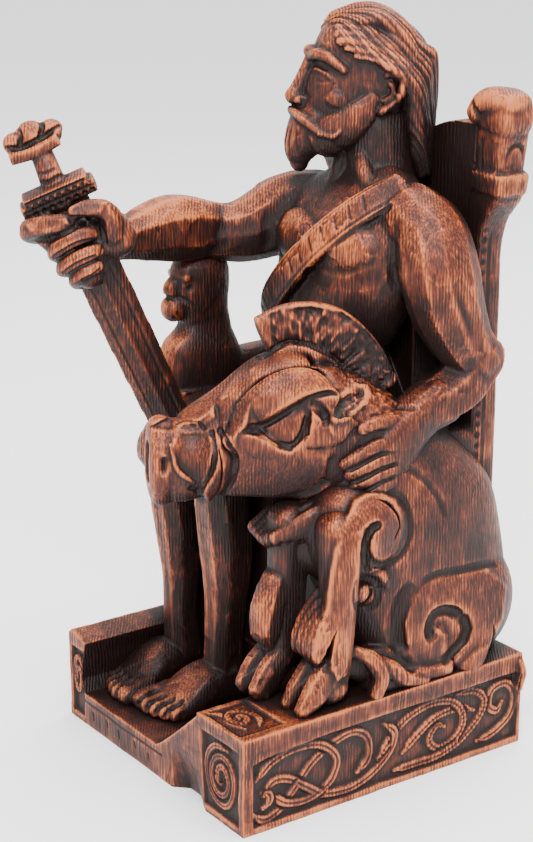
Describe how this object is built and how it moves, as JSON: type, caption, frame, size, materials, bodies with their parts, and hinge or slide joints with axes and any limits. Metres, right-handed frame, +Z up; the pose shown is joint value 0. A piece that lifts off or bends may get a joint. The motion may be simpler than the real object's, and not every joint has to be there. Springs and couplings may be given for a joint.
{
  "type": "seated god statue with boar",
  "caption": "Tabletop statue of a bearded god seated on a throne, sword held out in one hand and the other on a standing boar, on a plinth with carved interlace.",
  "frame": {"origin": "centre of the plinth's flat underside, on the surface that it stands on", "axes": "+Z up; the figure faces -Y; its left side, with the boar, is at +X"},
  "size_m": [0.1038, 0.1382, 0.2289],
  "materials": {
    "stained_resin": "carved grain, dark stain wiped back to red-brown on the raised parts, satin coat"
  },
  "bodies": {
    "root": {"statue": "stained_resin"}
  },
  "joints": []
}
